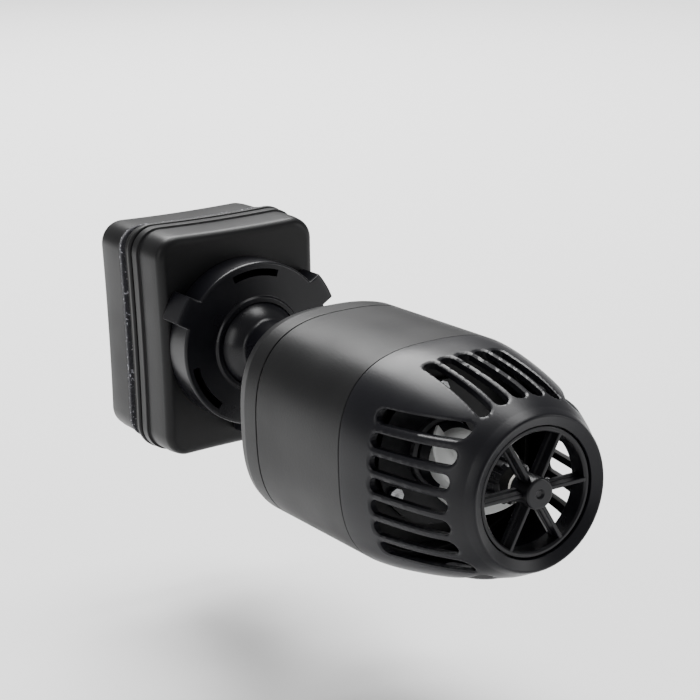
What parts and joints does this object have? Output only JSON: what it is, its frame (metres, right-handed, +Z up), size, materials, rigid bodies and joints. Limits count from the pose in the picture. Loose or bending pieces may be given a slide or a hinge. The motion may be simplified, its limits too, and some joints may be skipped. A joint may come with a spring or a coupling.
{
  "type": "wave maker pump",
  "caption": "Aquarium circulation pump: slotted tapering head on a ball joint, carried by a two-part magnet mount that grips the tank glass.",
  "frame": {"origin": "centre of the wet rubber pad's glass face", "axes": "+Y out through the glass towards the dry magnet, -Y along the head's nose, +Z up"},
  "size_m": [0.0554, 0.169, 0.0676],
  "materials": {
    "satin_black": "satin, fine moulded texture",
    "cage_plastic": "satin, smooth",
    "gloss_black": "semi gloss",
    "white_plastic": "smooth",
    "rubber": "matt",
    "felt": "speckled felt",
    "ferrite": "sintered",
    "steel": "brushed",
    "lamination": "stamped edges",
    "copper": "enamelled winding",
    "ceramic": "polished"
  },
  "bodies": {
    "wet_mount": {"wet_cover": "satin_black", "wet_holder": "satin_black", "wet_magnet": "ferrite", "wet_rubber_pad": "rubber", "wet_screw_1": "steel", "wet_screw_2": "steel", "wet_screw_3": "steel", "wet_screw_4": "steel"},
    "dry_mount": {"dry_cover": "satin_black", "dry_felt_pad": "felt", "dry_housing": "satin_black", "dry_magnet": "ferrite", "dry_screw_1": "steel", "dry_screw_2": "steel", "dry_screw_3": "steel", "dry_screw_4": "steel"},
    "lock_ring": {"clamp_ring": "gloss_black"},
    "roll_seat": {"seat_washer": "rubber"},
    "yaw_seat": {"socket_liner": "white_plastic"},
    "pump_head": {"ball_stem": "gloss_black", "cable_gland": "rubber", "cage": "cage_plastic", "can_screw_1": "steel", "can_screw_2": "steel", "can_screw_3": "steel", "can_seal": "rubber", "cap_seal": "rubber", "coil_1": "copper", "coil_2": "copper", "coil_3": "copper", "coil_4": "copper", "front_bush": "rubber", "motor_housing": "satin_black", "nose_ring": "gloss_black", "rear_bush": "rubber", "rear_cap": "satin_black", "rotor_can": "gloss_black", "shaft": "ceramic", "stator_core": "lamination", "stem_screw": "steel", "stem_washer": "steel", "thrust_washer": "ceramic"},
    "rotor": {"rotor_magnet": "ferrite", "drive_hub": "gloss_black"},
    "propeller": {"propeller": "white_plastic"}
  },
  "joints": [
    {"name": "dry_half_pull", "type": "slide", "parent": "wet_mount", "child": "dry_mount", "axis": [0, 1, 0], "range_m": [0, 0.06]},
    {"name": "ring_twist", "type": "hinge", "parent": "wet_mount", "child": "lock_ring", "pos_m": [0, -0.0242, 0], "axis": [0, -1, 0], "range_deg": [0, 40]},
    {"name": "head_roll", "type": "hinge", "parent": "wet_mount", "child": "roll_seat", "pos_m": [0, -0.0242, 0], "axis": [0, 1, 0], "range_deg": [-90, 90]},
    {"name": "head_yaw", "type": "hinge", "parent": "roll_seat", "child": "yaw_seat", "pos_m": [0, -0.0242, 0], "axis": [0, 0, 1], "range_deg": [-18, 18]},
    {"name": "head_pitch", "type": "hinge", "parent": "yaw_seat", "child": "pump_head", "pos_m": [0, -0.0242, 0], "axis": [1, 0, 0], "range_deg": [-18, 18]},
    {"name": "rotor_spin", "type": "hinge", "parent": "pump_head", "child": "rotor", "pos_m": [0, -0.11, -0.0085], "axis": [0, -1, 0], "continuous": true},
    {"name": "propeller_lag", "type": "hinge", "parent": "rotor", "child": "propeller", "pos_m": [0, -0.125, -0.0085], "axis": [0, -1, 0], "range_deg": [0, 150]}
  ]
}
